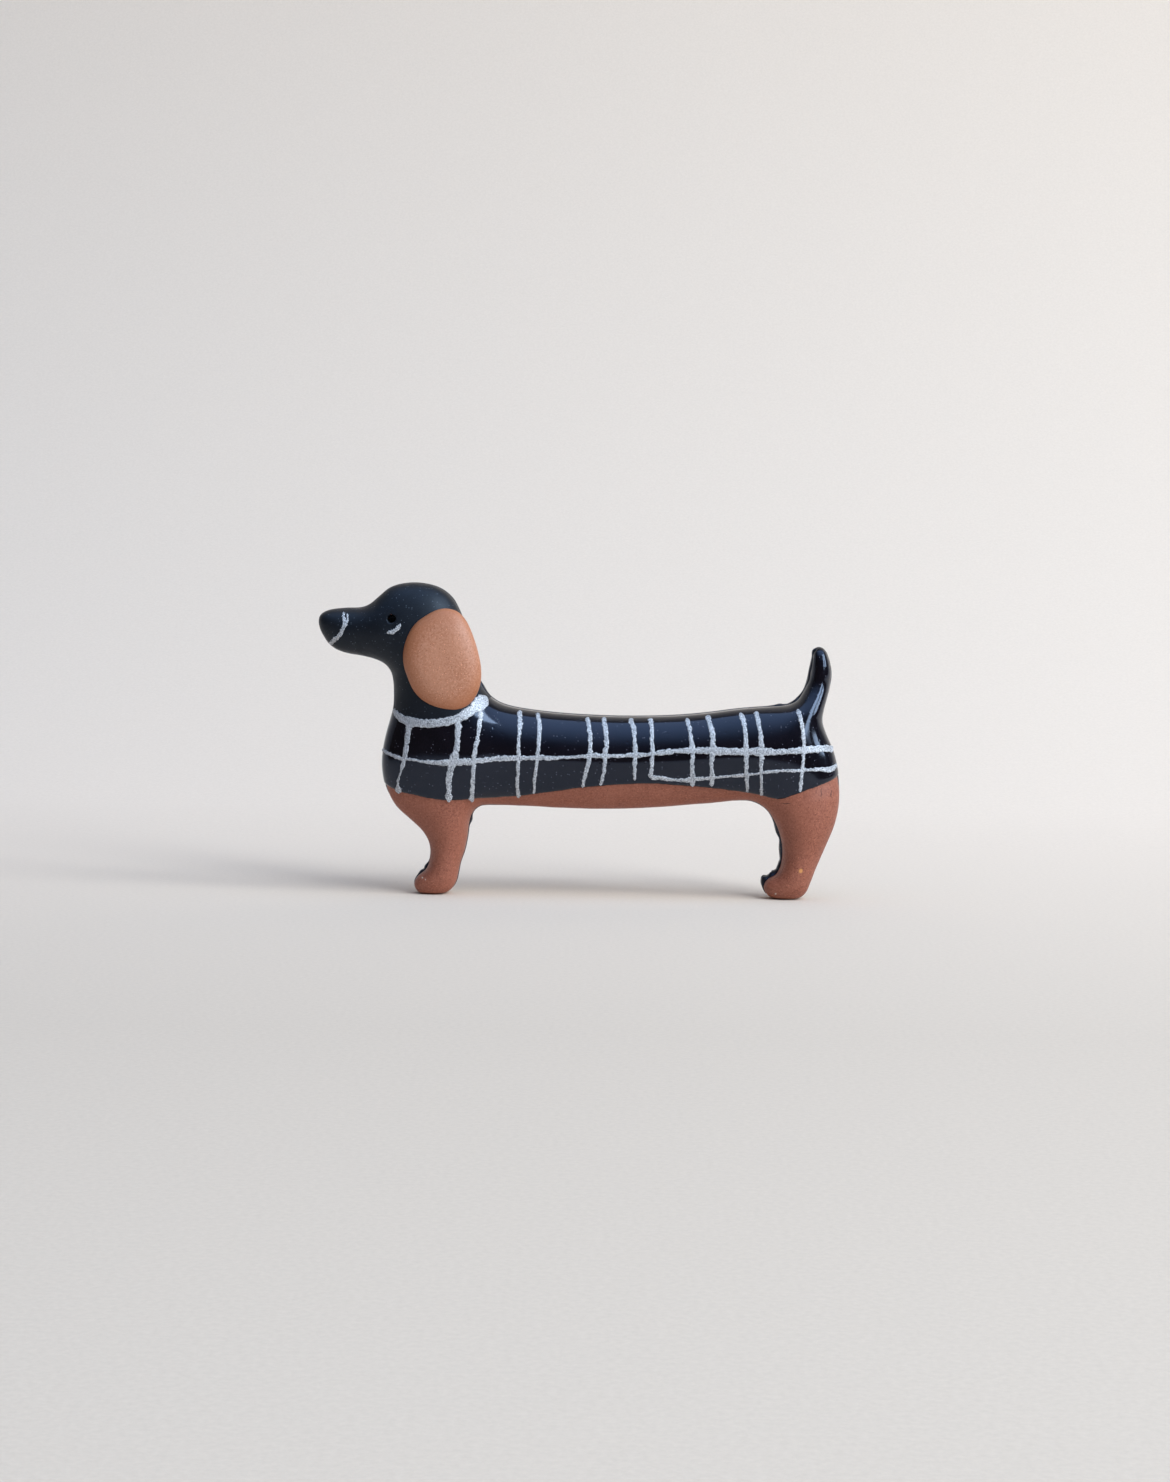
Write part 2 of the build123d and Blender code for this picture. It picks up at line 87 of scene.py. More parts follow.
# each stroke is a list of (x, z, width)
UPRIGHTS = {
    1: [(-20.8, 21.3, 0.9), (-21.0, 20.0, 0.75), (-21.2, 18.3, 0.7), (-21.4, 16.9, 0.62),
        (-21.7, 15.8, 0.34), (-22.1, 14.5, 0.24), (-22.15, 13.8, 0.3), (-22.1, 13.2, 0.95),
        (-22.05, 12.7, 0.3)],
    2: [(-14.7, 21.9, 1.1), (-14.8, 20.3, 0.75), (-14.9, 18.6, 0.8), (-15.3, 17.0, 1.1),
        (-15.6, 15.9, 0.8), (-15.8, 14.6, 0.76), (-15.8, 13.2, 0.66), (-15.8, 12.5, 0.9),
        (-15.8, 11.85, 0.8)],
    3: [(-12.0, 23.1, 0.7), (-12.3, 20.3, 0.52), (-12.7, 17.9, 0.6), (-12.8, 16.1, 0.54),
        (-12.9, 14.0, 0.56), (-13.0, 12.5, 0.62), (-13.0, 11.85, 0.62)],
    4: [(-7.3, 23.1, 0.62), (-7.2, 21.4, 0.58), (-7.3, 19.5, 0.4), (-7.3, 17.9, 0.52),
        (-7.35, 15.5, 0.46), (-7.4, 13.6, 0.46), (-7.25, 12.4, 0.66)],
    5: [(-5.1, 22.85, 0.42), (-4.8, 21.6, 0.6), (-4.8, 19.9, 0.54), (-4.9, 18.4, 0.52),
        (-5.05, 16.6, 0.44), (-5.3, 14.6, 0.4), (-5.35, 13.0, 0.42)],
    6: [(1.1, 22.4, 0.55), (1.4, 20.8, 0.62), (1.5, 19.2, 0.55), (1.45, 17.9, 0.66),
        (1.2, 16.4, 0.5), (0.9, 15.2, 0.45), (0.65, 13.9, 0.36)],
    7: [(3.1, 22.4, 0.58), (3.4, 20.8, 0.62), (3.5, 19.4, 0.55), (3.35, 17.9, 0.58),
        (3.3, 16.4, 0.48), (3.1, 15.1, 0.42), (2.85, 14.2, 0.46)],
    8: [(6.4, 22.35, 0.75), (6.85, 21.2, 0.62), (6.95, 19.9, 0.52), (7.05, 18.3, 0.64),
        (7.0, 16.6, 0.46), (7.1, 14.9, 0.38)],
    9: [(8.9, 22.4, 0.7), (9.1, 21.2, 0.54), (9.1, 19.8, 0.52), (9.2, 18.3, 0.6),
        (9.1, 16.7, 0.48), (9.0, 15.2, 0.6)],
    10: [(13.4, 22.5, 0.58), (13.75, 21.3, 0.52), (13.95, 19.8, 0.55), (14.15, 18.5, 0.66),
         (14.1, 16.9, 0.55), (14.2, 15.2, 0.66), (14.2, 14.2, 0.5)],
    11: [(16.0, 22.9, 0.75), (16.35, 21.6, 0.68), (16.6, 20.5, 0.72), (16.6, 18.8, 0.76),
         (16.5, 17.2, 0.52), (16.6, 15.5, 0.64), (16.6, 14.3, 0.6)],
    12: [(20.05, 23.3, 0.72), (20.4, 22.3, 0.6), (20.6, 21.0, 0.52), (20.7, 18.8, 0.62),
         (20.75, 17.3, 0.48), (20.85, 15.6, 0.56), (20.95, 14.6, 0.44), (21.1, 13.6, 0.36)],
    13: [(21.95, 23.5, 0.62), (22.2, 22.4, 0.58), (22.45, 21.0, 0.52), (22.6, 18.8, 0.66),
         (22.6, 17.1, 0.45), (22.65, 15.5, 0.4), (22.8, 13.2, 0.32)],
    14: [(27.1, 23.9, 0.7), (27.5, 22.4, 0.55), (27.7, 21.2, 0.52), (27.85, 19.2, 0.44),
         (27.8, 17.6, 0.42), (27.6, 15.8, 0.44), (27.5, 13.8, 0.44)],
}
BANDS = {
    1: [(-24.25, 18.0, 0.42), (-23.1, 17.5, 0.46), (-21.5, 17.1, 0.46), (-20.4, 17.05, 0.32),
        (-18.9, 16.85, 0.42), (-17.0, 16.75, 0.7), (-15.2, 16.85, 1.0), (-13.2, 16.95, 0.85),
        (-11.5, 17.15, 0.66), (-9.8, 17.35, 0.72), (-7.5, 17.45, 0.7), (-5.9, 17.45, 0.52),
        (-4.4, 17.55, 0.62), (-3.0, 17.5, 0.58), (-1.6, 17.6, 0.36), (0.5, 17.75, 0.42),
        (2.0, 17.9, 0.58), (3.6, 17.85, 0.55), (5.6, 17.95, 0.42), (7.1, 18.05, 0.74),
        (8.4, 18.1, 0.42), (9.6, 18.25, 0.6)],
    2: [(9.3, 18.25, 0.6), (11.0, 18.5, 0.7), (12.6, 18.65, 0.62), (14.3, 18.7, 0.8),
        (15.6, 18.75, 0.82), (16.8, 18.75, 1.1), (18.4, 18.65, 0.98), (20.7, 18.7, 0.98),
        (22.5, 18.75, 1.05), (24.4, 18.7, 0.8), (25.9, 18.8, 0.7), (27.8, 18.95, 0.95),
        (29.5, 19.1, 0.88), (30.9, 19.1, 0.85), (31.7, 18.9, 0.7)],
    3: [(9.0, 15.3, 0.6), (10.4, 15.25, 0.5), (11.9, 15.05, 0.38), (13.1, 15.0, 0.5),
        (14.2, 15.15, 0.68), (16.0, 15.3, 0.38), (19.1, 15.65, 0.34), (20.9, 15.85, 0.45),
        (21.9, 15.95, 0.26), (23.1, 16.2, 0.48), (25.4, 16.4, 0.36), (27.7, 16.5, 0.42),
        (29.4, 16.6, 0.42), (30.4, 16.55, 0.62), (31.4, 16.6, 0.72), (32.2, 17.0, 0.5)],
}
COLLAR = {
    1: [(-23.0, 23.0, 0.4), (-22.2, 22.25, 0.85), (-21.2, 21.75, 1.2), (-19.8, 21.55, 1.12),
        (-18.0, 21.55, 1.06), (-16.3, 21.8, 1.05), (-14.9, 22.2, 1.1), (-13.7, 22.85, 1.25),
        (-12.7, 23.5, 1.5)],
    2: [(-13.2, 23.2, 1.5), (-12.2, 24.0, 1.85), (-11.4, 24.75, 1.6)],
}
MUZZLE = {
    1: [(-29.3, 34.95, 0.26), (-29.15, 33.9, 0.38), (-29.3, 32.8, 0.50), (-29.9, 31.9, 0.56),
        (-31.0, 31.0, 0.54)],
    2: [(-28.8, 34.75, 0.26), (-28.75, 33.9, 0.26), (-29.1, 33.0, 0.30)],
}
CHEEK = {1: [(-23.7, 32.55, 0.5), (-23.0, 32.7, 0.52), (-22.5, 33.1, 0.5), (-22.05, 33.7, 0.42)]}
EYE = (-23.2, 34.3)
EYE_RADIUS = 0.52
EAR_OUTLINE = [
    (-16.35, 35.6), (-17.7, 35.4), (-19.0, 34.75), (-20.2, 33.8), (-21.1, 32.5), (-21.65, 30.8),
    (-21.7, 29.0), (-21.2, 27.3), (-20.4, 25.6), (-19.2, 24.2), (-17.7, 23.3), (-16.05, 22.95),
    (-14.7, 23.15), (-13.45, 24.0), (-12.5, 25.25), (-12.05, 26.8), (-12.05, 28.5),
    (-12.45, 30.4), (-13.1, 32.3), (-13.95, 34.1), (-15.0, 35.2),
]
EAR_CENTRE = (-16.8, 29.2)
EAR_FLATNESS = 0.66
# glaze that ran and beaded over the edge of the back: (x, z, reach, height)
BEADS = [
    (25.15, 8.3, 1.5, 0.22), (25.45, 6.2, 1.5, 0.30), (25.3, 4.2, 0.9, 0.28),
    (24.6, 3.1, 0.9, 0.42), (23.6, 2.3, 0.7, 0.50), (-18.5, 3.2, 0.7, 0.26),
    (-19.3, 2.5, 0.6, 0.20), (-13.3, 9.3, 0.6, 0.20), (28.6, 28.2, 1.6, 0.16),
    (29.2, 31.0, 0.5, 0.12), (27.2, 24.9, 1.2, 0.16), (25.0, 24.2, 1.0, 0.14),
    (-12.2, 25.9, 1.2, 0.14),
]


# ---------------------------------------------------------------- curves
def smooth_path(points, step, closed=False):
    """Points every step along a Catmull-Rom curve through the given ones."""
    pts = np.array(points, float)
    if closed:
        pts = np.vstack([pts[-1], pts, pts[0], pts[1]])
    else:
        pts = np.vstack([2 * pts[0] - pts[1], pts, 2 * pts[-1] - pts[-2]])
    out = []
    for a, b, c, d in zip(pts[:-3], pts[1:-2], pts[2:-1], pts[3:]):
        count = max(2, int(np.linalg.norm(c - b) / step))
        t = (np.arange(count) / count)[:, None]
        out.append(0.5 * (2 * b + (c - a) * t + (2 * a - 5 * b + 4 * c - d) * t ** 2
                          + (3 * b - a - 3 * c + d) * t ** 3))
    if not closed:
        out.append(pts[-2:-1])
    return np.vstack(out)


def height_along(points, x):
    """z of a curve that runs left to right, at x."""
    path = smooth_path(points, 0.2)
    return np.interp(x, path[:, 0], path[:, 1])


def smoothstep(low, high, value):
    t = np.clip((value - low) / (high - low), 0.0, 1.0)
    return t * t * (3 - 2 * t)


def wander(values, scale, seed):
    """Smooth noise, about -1..1, along a list of numbers or by the first two of each point."""
    flat = np.atleast_2d(np.array(values, float).T).T
    out = np.empty(len(flat))
    for i, row in enumerate(flat):
        place = Vector((row[0] / scale, (row[1] if len(row) > 1 else 0.0) / scale, seed * 7.31))
        out[i] = noise.noise(place)
    return 1.6 * out


# ---------------------------------------------------------------- the swell of the clay
class Swell:
    """A smooth distance to the outline on a grid, after the mean value coordinates."""

    CORNER = (-36.013, -3.517)     # odd fractions keep every grid point off the outline itself
    SPAN = (71.0, 46.0)
    LEAST = 0.3                    # keeps the division finite far outside the outline
    RANGE = (-3.0, 6.0)

    def __init__(self):
        self.low = np.array(self.CORNER)
        self.size = tuple(int(span / GRID) for span in self.SPAN)
        xs = self.low[0] + GRID * np.arange(self.size[0])
        zs = self.low[1] + GRID * np.arange(self.size[1])
        ring = smooth_path(OUTLINE, 0.25, closed=True)
        nxt = np.roll(ring, -1, axis=0)
        values = np.empty(self.size)
        for i, x in enumerate(xs):
            ax, az = ring[:, 0][None, :] - x, ring[:, 1][None, :] - zs[:, None]
            bx, bz = nxt[:, 0][None, :] - x, nxt[:, 1][None, :] - zs[:, None]
            la = np.sqrt(ax * ax + az * az) + 1e-9
            lb = np.sqrt(bx * bx + bz * bz) + 1e-9
            cross = ax * bz - az * bx
            dot = ax * bx + az * bz
            total = np.sum((1 / la + 1 / lb) * cross / (la * lb + dot + 1e-9), axis=1)
            least = np.where(total < 0, -self.LEAST, self.LEAST)
            values[i] = 2.0 / np.where(np.abs(total) < self.LEAST, least, total)
        self.values = np.clip(values, *self.RANGE)

    def at(self, x, z):
        """The smooth distance and its slopes along x and z."""
        u = np.clip((x - self.low[0]) / GRID, 1.001, self.size[0] - 3.001)
        v = np.clip((z - self.low[1]) / GRID, 1.001, self.size[1] - 3.001)
        i, j = u.astype(int), v.astype(int)
        wu, du = cubic_weights(u - i)
        wv, dv = cubic_weights(v - j)
        value, slope_x, slope_z = 0.0, 0.0, 0.0
        for a in range(4):
            for b in range(4):
                cell = self.values[i + a - 1, j + b - 1]
                value = value + wu[a] * wv[b] * cell
                slope_x = slope_x + du[a] * wv[b] * cell
                slope_z = slope_z + wu[a] * dv[b] * cell
        return value, slope_x / GRID, slope_z / GRID


def cubic_weights(t):
    """Uniform cubic B-spline weights and their slopes."""
    s = 1 - t
    weights = (s ** 3 / 6, (3 * t ** 3 - 6 * t ** 2 + 4) / 6, (3 * s ** 3 - 6 * s ** 2 + 4) / 6,
               t ** 3 / 6)
    slopes = (-s ** 2 / 2, (3 * t ** 2 - 4 * t) / 2, -(3 * s ** 2 - 4 * s) / 2, t ** 2 / 2)
    return weights, slopes


swell = Swell()
MUZZLE_DROP, LEG_DROP, CHEST_RISE, TAIL_DROP = 0.6, 0.45, 0.45, 1.2


def wall_at(x, z):
    """Height of the straight wall: lower at the muzzle, legs and tail, higher at the chest."""
    wall = WALL - MUZZLE_DROP * smoothstep(-24.0, -29.0, x)
    wall = wall - LEG_DROP * smoothstep(9.5, 5.0, z)
    wall = wall + CHEST_RISE * smoothstep(23.5, 15.5, z) * smoothstep(-9.0, -14.0, x)
    return wall - TAIL_DROP * smoothstep(23.0, 27.5, z) * smoothstep(22.0, 25.0, x)


def soft_min(a, slope_a, b, slope_b):
    """Smooth minimum of two distances, and its slope."""
    gap = np.clip(EDGE - np.abs(a - b), 0.0, None)
    share = np.where(a < b, 1 - gap / (2 * EDGE), gap / (2 * EDGE))[:, None]
    return np.minimum(a, b) - gap ** 2 / (4 * EDGE), share * slope_a + (1 - share) * slope_b


def depth_field(p):
    """How deep each point lies inside the glazed dog, and the slope of that depth."""
    out = BACK - p[:, 1]
    phi, sx, sz = swell.at(p[:, 0], p[:, 2])
    rise = np.clip(out - wall_at(p[:, 0], p[:, 2]), 0.0, None)
    norm = np.sqrt(DOME * DOME * (sx * sx + sz * sz) + 4 * rise ** 2 + 1e-6)
    front = (DOME * phi - rise ** 2) / norm
    slope = np.stack([DOME * sx, 2 * rise, DOME * sz], axis=1) / norm[:, None]
    flat = np.zeros_like(slope)
    flat[:, 1] = -1.0
    front, slope = soft_min(front, slope, out, flat)
    ground = np.zeros_like(slope)
    ground[:, 2] = 1.0
    return soft_min(front, slope, p[:, 2], ground)


def settle(p, offset, rounds=4):
    """Moves points to the surface that stands proud of the dog by offset."""
    for _ in range(rounds):
        depth, slope = depth_field(p)
        size = np.sum(slope * slope, axis=1) + 1e-6
        step = np.clip((depth + offset) / size, -1.0, 1.0)
        p = p - step[:, None] * slope
    return p


def front_point(x, z, offset):
    """The point of the domed front over (x, z), standing proud by offset."""
    phi = np.clip(swell.at(x, z)[0], 0.004, None)
    y = BACK - wall_at(x, z) - np.sqrt(DOME * phi)
    p = np.stack([x, y, z], axis=1)
    slope = depth_field(p)[1]
    normal = -slope / (np.linalg.norm(slope, axis=1)[:, None] + 1e-9)
    return p + normal * np.asarray(offset)[:, None]


# ---------------------------------------------------------------- meshes
WALL_BAND = (0.7, 1.1)                         # from the back, where the CAD wall is straight
SLIDE_REACH = 3.0                              # how far in from the wall the clay slides with it
ROUNDS = 3                                     # of evening out the mesh
EVENING = 0.7                                  # share of the way to the middle of the neighbours


def quad_edges(quads):
    return np.vstack([quads[:, [0, 1]], quads[:, [1, 2]], quads[:, [2, 3]], quads[:, [3, 0]]])


def blank_mesh(voxel):
    """The CAD clay as an even mesh on the glazed surface, in millimetres: vertices and quads."""
    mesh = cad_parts["stoneware_body"].data.copy()
    co = np.empty(len(mesh.vertices) * 3)
    mesh.vertices.foreach_get("co", co)
    mesh.vertices.foreach_set("co", co / MM)
    obj = bpy.data.objects.new("blank", mesh)
    bpy.context.scene.collection.objects.link(obj)
    remesh = obj.modifiers.new("even", "REMESH")
    remesh.mode = "VOXEL"
    remesh.voxel_size = voxel
    graph = bpy.context.evaluated_depsgraph_get()
    even = bpy.data.meshes.new_from_object(obj.evaluated_get(graph))
    verts = np.empty(len(even.vertices) * 3)
    even.vertices.foreach_get("co", verts)
    quads = np.array([tuple(f.vertices) for f in even.polygons if len(f.vertices) == 4])
    bpy.data.objects.remove(obj)
    bpy.data.meshes.remove(mesh)
    bpy.data.meshes.remove(even)
    verts = settle(follow_outline(verts.reshape(-1, 3)), 0.0)
    return relax(verts, quads), quads


def follow_outline(verts):
    """Slides the CAD clay sideways, and most near its wall, until the wall is on the outline."""
    back_off = BACK - verts[:, 1]
    wall = verts[(back_off > WALL_BAND[0]) & (back_off < WALL_BAND[1])][:, [0, 2]]
    moved = wall.copy()
    for _ in range(5):
        phi, sx, sz = swell.at(moved[:, 0], moved[:, 1])
        step = np.clip(phi / (sx * sx + sz * sz + 1e-6), -0.5, 0.5)[:, None]
        moved = moved - step * np.stack([sx, sz], axis=1)
    tree = KDTree(len(wall))
    for i, (x, z) in enumerate(wall):
        tree.insert((x, z, 0.0), i)
    tree.balance()
    nearest = [tree.find((x, z, 0.0))[1:] for x, z in verts[:, [0, 2]]]
    index = np.array([i for i, _ in nearest])
    share = smoothstep(SLIDE_REACH, 0.0, np.array([away for _, away in nearest]))[:, None]
    out = verts.copy()
    out[:, [0, 2]] += share * (moved - wall)[index]
    return out


def relax(verts, quads):
    """Evens out the spacing and returns to the surface after each round."""
    edges = quad_edges(quads)
    count = np.bincount(edges.ravel(), minlength=len(verts))[:, None]
    for _ in range(ROUNDS):
        total = np.zeros_like(verts)
        for axis in range(3):
            total[:, axis] = (np.bincount(edges[:, 0], verts[edges[:, 1], axis], len(verts))
                              + np.bincount(edges[:, 1], verts[edges[:, 0], axis], len(verts)))
        verts = verts + EVENING * (total / np.maximum(count, 1) - verts)
        verts = settle(verts, 0.0, 2)
    return verts


def crop(verts, quads, keep):
    """Only the quads that touch a kept vertex, and which of the vertices they use."""
    quads = quads[keep[quads].any(axis=1)]
    used = np.unique(quads)
    lookup = np.full(len(verts), -1)
    lookup[used] = np.arange(len(used))
    return verts[used], lookup[quads], used


def thicken(outer, inner, quads):
    """Closes a sheet of quads with a second sheet beneath it."""
    count = len(outer)
    edges = quad_edges(quads)
    key = np.sort(edges, axis=1)
    order = key[:, 0] * count + key[:, 1]
    _, first, times = np.unique(order, return_index=True, return_counts=True)
    rim = edges[first[times == 1]]
    sides = np.stack([rim[:, 1], rim[:, 0], rim[:, 0] + count, rim[:, 1] + count], axis=1)
    return np.vstack([outer, inner]), np.vstack([quads, quads[:, ::-1] + count, sides])


def add_piece(name, verts, faces, material, slot, node):
    """A piece of the brooch, given in millimetres, that takes the place of a CAD node."""
    mesh = bpy.data.meshes.new(name)
    mesh.from_pydata((np.asarray(verts) * MM).tolist(), [], [list(map(int, f)) for f in faces])
    mesh.validate()
    mesh.shade_smooth()
    mesh.materials.append(material)
    obj = bpy.data.objects.new(name, mesh)
    bpy.context.scene.collection.objects.link(obj)
    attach(obj, "brooch")
    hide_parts(node)


# ---------------------------------------------------------------- materials
def set_stops(ramp, stops):
    """Fills a colour ramp from (position, grey or colour)."""
    for index, (at, tone) in enumerate(stops):
        stop = ramp.elements[index] if index < 2 else ramp.elements.new(at)
        stop.position = at
        stop.color = (tone, tone, tone, 1.0) if isinstance(tone, float) else (*tone, 1.0)


class Finish:
    """A small helper round one node material."""

    def __init__(self, name, **sockets):
        self.material = bpy.data.materials.new(name)
        self.material.use_nodes = True
        self.nodes = self.material.node_tree.nodes
        self.links = self.material.node_tree.links
        self.bsdf = self.nodes["Principled BSDF"]
        self.place = self.nodes.new("ShaderNodeTexCoord").outputs["Object"]
        for socket, value in sockets.items():
            self.bsdf.inputs[socket.replace("_", " ")].default_value = value

    def noise(self, size_mm, detail, rough=0.55):
        """Cloudy noise whose features are about that size."""
        node = self.nodes.new("ShaderNodeTexNoise")
        node.inputs["Scale"].default_value = 1.0 / (size_mm * MM)
        node.inputs["Detail"].default_value = detail
        node.inputs["Roughness"].default_value = rough
        self.links.new(self.place, node.inputs["Vector"])
        return node.outputs["Fac"]

    def specks(self, size_mm, share):
        """1 inside scattered round specks that cover about that share, 0 elsewhere."""
        cells = self.nodes.new("ShaderNodeTexVoronoi")
        cells.inputs["Scale"].default_value = 1.0 / (size_mm * MM)
        self.links.new(self.place, cells.inputs["Vector"])
        tone = self.nodes.new("ShaderNodeSeparateColor")
        self.links.new(cells.outputs["Color"], tone.inputs["Color"])
        chosen = self.ramp(tone.outputs["Red"], [(share, 1.0), (share + 0.02, 0.0)])
        near = self.ramp(cells.outputs["Distance"], [(0.18, 1.0), (0.34, 0.0)])
        return self.math("MULTIPLY", chosen, near)

    def stirred(self, size_mm, amount_mm):
        """Each place moved a little by noise, so that a straight mark comes out wavy."""
        swirl = self.nodes.new("ShaderNodeTexNoise")
        swirl.inputs["Scale"].default_value = 1.0 / (size_mm * MM)
        self.links.new(self.place, swirl.inputs["Vector"])
        moved = self.nodes.new("ShaderNodeVectorMath")
        moved.operation = "MULTIPLY_ADD"
        self.links.new(swirl.outputs["Color"], moved.inputs[0])
        moved.inputs[1].default_value = (amount_mm * MM,) * 3
        self.links.new(self.place, moved.inputs[2])
        return moved.outputs["Vector"]

    def oval(self, centre, half, place=None):
        """Distance from an upright oval's middle, 1 at its edge; millimetres along X and Z."""
        away = self.nodes.new("ShaderNodeVectorMath")
        away.operation = "SUBTRACT"
        self.links.new(self.place if place is None else place, away.inputs[0])
        away.inputs[1].default_value = (MM * centre[0], 0.0, MM * centre[1])
        scaled = self.nodes.new("ShaderNodeVectorMath")
        scaled.operation = "MULTIPLY"
        self.links.new(away.outputs["Vector"], scaled.inputs[0])
        scaled.inputs[1].default_value = (1 / (MM * half[0]), 0.0, 1 / (MM * half[1]))
        size = self.nodes.new("ShaderNodeVectorMath")
        size.operation = "LENGTH"
        self.links.new(scaled.outputs["Vector"], size.inputs[0])
        return size.outputs["Value"]

    def depth(self):
        """How far back along Y: 0 at 0.2 m in front of the origin, 1 at 0.2 m behind it."""
        parts = self.nodes.new("ShaderNodeSeparateXYZ")
        self.links.new(self.place, parts.inputs["Vector"])
        return self.math("ADD", self.math("MULTIPLY", parts.outputs["Y"], 2.5), 0.5)

    def ramp(self, value, stops):
        node = self.nodes.new("ShaderNodeValToRGB")
        set_stops(node.color_ramp, stops)
        self.links.new(value, node.inputs["Fac"])
        return node.outputs["Color"]

    def math(self, operation, a, b):
        node = self.nodes.new("ShaderNodeMath")
        node.operation = operation
        for socket, value in zip(node.inputs, (a, b)):
            if isinstance(value, (int, float)):
                socket.default_value = value
            else:
                self.links.new(value, socket)
        return node.outputs["Value"]

    def mix(self, factor, a, b):
        node = self.nodes.new("ShaderNodeMix")
        node.data_type = "RGBA"
        self.links.new(factor, node.inputs["Factor"])
        for socket, value in ((node.inputs["A"], a), (node.inputs["B"], b)):
            if isinstance(value, tuple):
                socket.default_value = (*value, 1.0)
            else:
                self.links.new(value, socket)
        return node.outputs["Result"]

    def bump(self, height, depth_mm, strength, under=None):
        """A relief of that depth, on top of the one under it."""
        node = self.nodes.new("ShaderNodeBump")
        node.inputs["Strength"].default_value = strength
        node.inputs["Distance"].default_value = depth_mm * MM
        self.links.new(height, node.inputs["Height"])
        if under is not None:
            self.links.new(under, node.inputs["Normal"])
        return node.outputs["Normal"]

    def connect(self, output, socket):
        self.links.new(output, self.bsdf.inputs[socket])


def clay_finish(name, base, dark, light, marks=(), cracks=(), rim=None):
    """Bare clay: cloudy, sandy and matte; past the rim oval it takes the colour of the rim."""
    clay = Finish(name, Roughness=0.52, IOR=1.5)
    cloud = clay.ramp(clay.noise(6.0, 3.0), [(0.35, dark), (0.65, base)])
    tone = clay.mix(clay.ramp(clay.noise(0.24, 2.0, 0.8), [(0.34, 0.0), (0.66, 1.0)]),
                    cloud, light)
    tone = clay.mix(clay.specks(0.22, 0.14), tone, tuple(0.75 * c for c in dark))
    tone = clay.mix(clay.specks(0.19, 0.16), tone, tuple(1.45 * c for c in light))
    for centre, half, colour in marks:
        away = clay.oval(centre, half, clay.stirred(0.5, 0.15))
        tone = clay.mix(clay.ramp(away, [(0.6, 1.0), (1.0, 0.0)]), tone, colour)
    for centre, half in cracks:
        away = clay.oval(centre, half, clay.stirred(0.6, 0.35))
        tone = clay.mix(clay.ramp(away, [(0.4, 1.0), (1.0, 0.0)]), tone,
                        tuple(0.25 * c for c in dark))
    if rim:
        centre, half, colour = rim
        away = clay.oval(centre, half)
        tone = clay.mix(clay.ramp(away, [(0.62, 0.0), (0.98, 0.85)]), tone, colour)
    clay.connect(tone, "Base Color")
    clay.connect(clay.ramp(clay.noise(0.9, 3.0), [(0.3, 0.46), (0.7, 0.58)]), "Roughness")
    soft = clay.bump(clay.noise(2.2, 3.0), 0.05, 0.4)
    fine = clay.bump(clay.noise(0.13, 2.0, 0.7), 0.014, 0.6, soft)
    clay.connect(fine, "Normal")
    return clay.material


def slip_finish():
    """Matte black slip: a broad bluish sheen, tiny grain and a little pale dust."""
    slip = Finish("black_slip", Roughness=0.5, IOR=1.42, Specular_Tint=(0.72, 0.84, 1.0, 1.0))
    tone = slip.ramp(slip.noise(0.17, 2.0, 0.8), [(0.3, (0.0012, 0.0016, 0.0030)),
                                                  (0.7, (0.0046, 0.0062, 0.0105))])
    tone = slip.mix(slip.specks(0.18, 0.07), tone, (0.10, 0.12, 0.15))
    slip.connect(tone, "Base Color")
    slip.connect(slip.ramp(slip.noise(1.3, 3.0), [(0.3, 0.42), (0.7, 0.55)]), "Roughness")
    wave = slip.bump(slip.noise(2.6, 2.0), 0.05, 0.3)
    slip.connect(slip.bump(slip.noise(0.13, 2.0, 0.7), 0.012, 0.6, wave), "Normal")
    return slip.material


def glaze_finish(name, roughness):
    """Glossy black glaze: a slow ripple, pinholes and specks of dust."""
    glaze = Finish(name, Roughness=roughness, IOR=1.55, Specular_Tint=(0.62, 0.75, 1.0, 1.0))
    tone = glaze.ramp(glaze.noise(3.0, 3.0), [(0.3, (0.0022, 0.0016, 0.0032)),
                                              (0.7, (0.0050, 0.0036, 0.0062))])
    tone = glaze.mix(glaze.specks(0.20, 0.05), tone, (0.13, 0.13, 0.16))
    glaze.connect(tone, "Base Color")
    smear = glaze.ramp(glaze.noise(0.7, 3.0), [(0.3, 0.8 * roughness), (0.7, 1.3 * roughness)])
    glaze.connect(smear, "Roughness")
    wave = glaze.bump(glaze.noise(3.4, 2.0), 0.06, 0.3)
    pits = glaze.ramp(glaze.specks(0.55, 0.08), [(0.0, 1.0), (1.0, 0.0)])
    glaze.connect(glaze.bump(pits, 0.02, 0.5, wave), "Normal")
    return glaze.material


def lustre_finish():
    """Silver lustre: matte metal, grainy where the brush ran thin."""
    lustre = Finish("silver_lustre", Metallic=0.35, Roughness=0.5)
    grain = lustre.noise(0.15, 3.0, 0.8)
    tone = lustre.ramp(grain, [(0.40, (0.13, 0.14, 0.16)), (0.48, (0.385, 0.40, 0.43)),
                               (0.60, (0.70, 0.715, 0.75))])
    lustre.connect(tone, "Base Color")
    lustre.connect(lustre.ramp(lustre.noise(0.3, 3.0), [(0.3, 0.40), (0.7, 0.62)]), "Roughness")
    coarse = lustre.bump(grain, 0.025, 0.6)
    lustre.connect(lustre.bump(lustre.noise(0.06, 2.0), 0.008, 0.5, coarse), "Normal")
    return lustre.material


